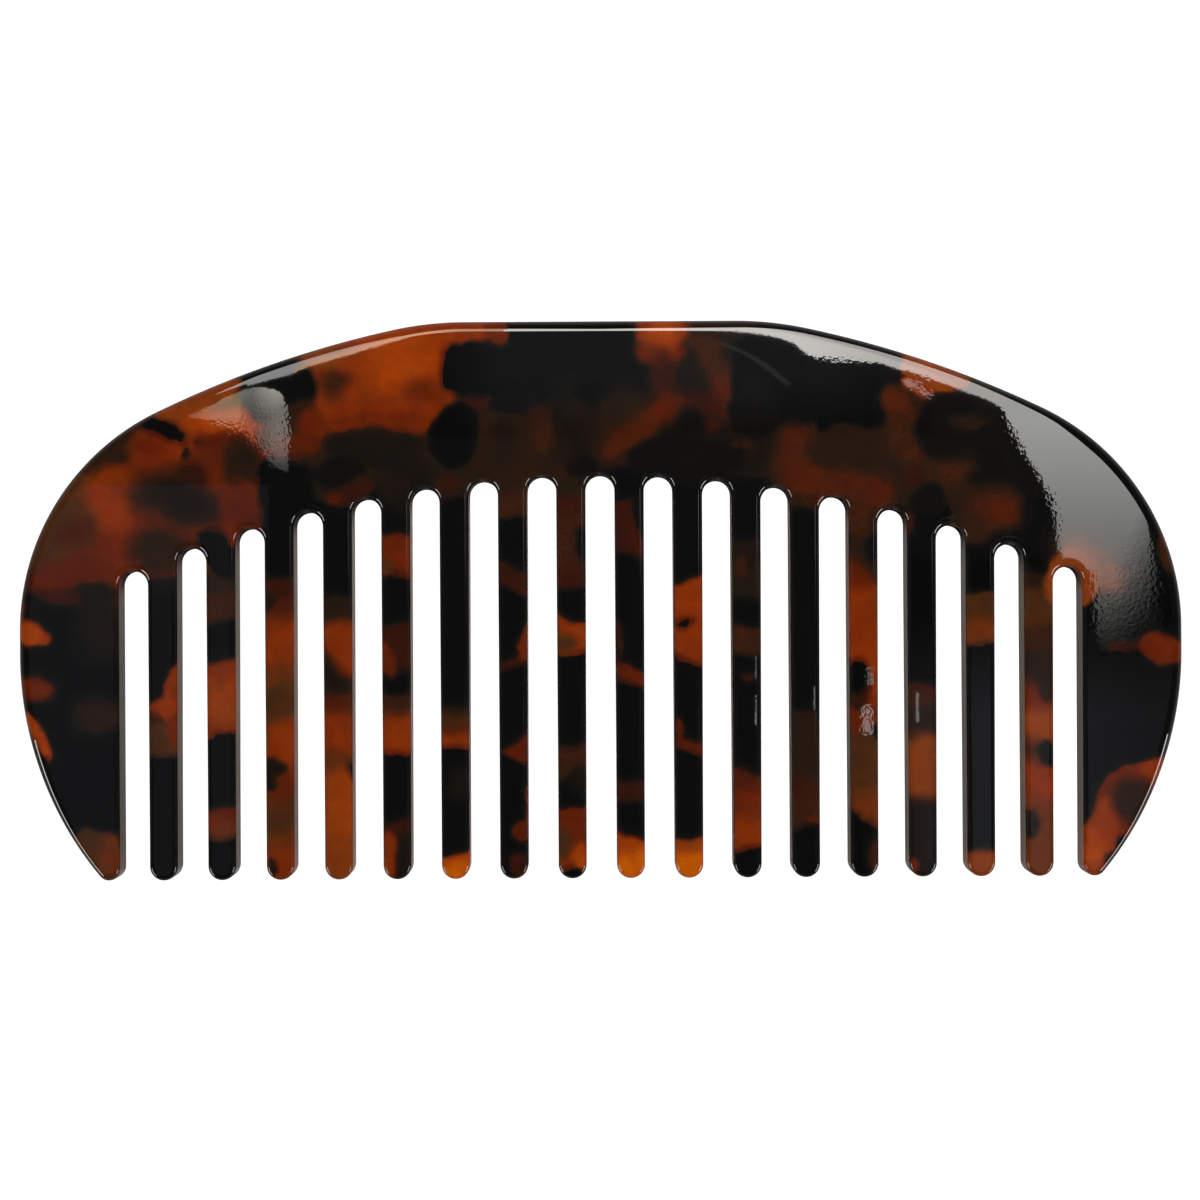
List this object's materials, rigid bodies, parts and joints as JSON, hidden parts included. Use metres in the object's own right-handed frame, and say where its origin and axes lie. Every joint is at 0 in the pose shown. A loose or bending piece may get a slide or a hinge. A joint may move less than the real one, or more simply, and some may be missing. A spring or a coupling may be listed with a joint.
{
  "type": "hair comb",
  "caption": "Flat dressing comb with a curved spine, even round-ended teeth between wide guard teeth, and a tortoiseshell pattern.",
  "frame": {"origin": "centre of the comb's overall box in X and Y, on its back face", "axes": "+X along the comb's length, +Y from the teeth to the curved spine, +Z through the sheet from the back face to the front face"},
  "size_m": [0.1196, 0.0574, 0.004],
  "materials": {
    "tortoiseshell_acetate": "hand-buffed high gloss, tortoiseshell mottling from clear amber through olive brown to black"
  },
  "bodies": {
    "root": {"comb_back": "tortoiseshell_acetate", "left_guard_tooth": "tortoiseshell_acetate", "right_guard_tooth": "tortoiseshell_acetate", "tooth_01": "tortoiseshell_acetate", "tooth_02": "tortoiseshell_acetate", "tooth_03": "tortoiseshell_acetate", "tooth_04": "tortoiseshell_acetate", "tooth_05": "tortoiseshell_acetate", "tooth_06": "tortoiseshell_acetate", "tooth_07": "tortoiseshell_acetate", "tooth_08": "tortoiseshell_acetate", "tooth_09": "tortoiseshell_acetate", "tooth_10": "tortoiseshell_acetate", "tooth_11": "tortoiseshell_acetate", "tooth_12": "tortoiseshell_acetate", "tooth_13": "tortoiseshell_acetate", "tooth_14": "tortoiseshell_acetate", "tooth_15": "tortoiseshell_acetate", "tooth_16": "tortoiseshell_acetate"}
  },
  "joints": []
}
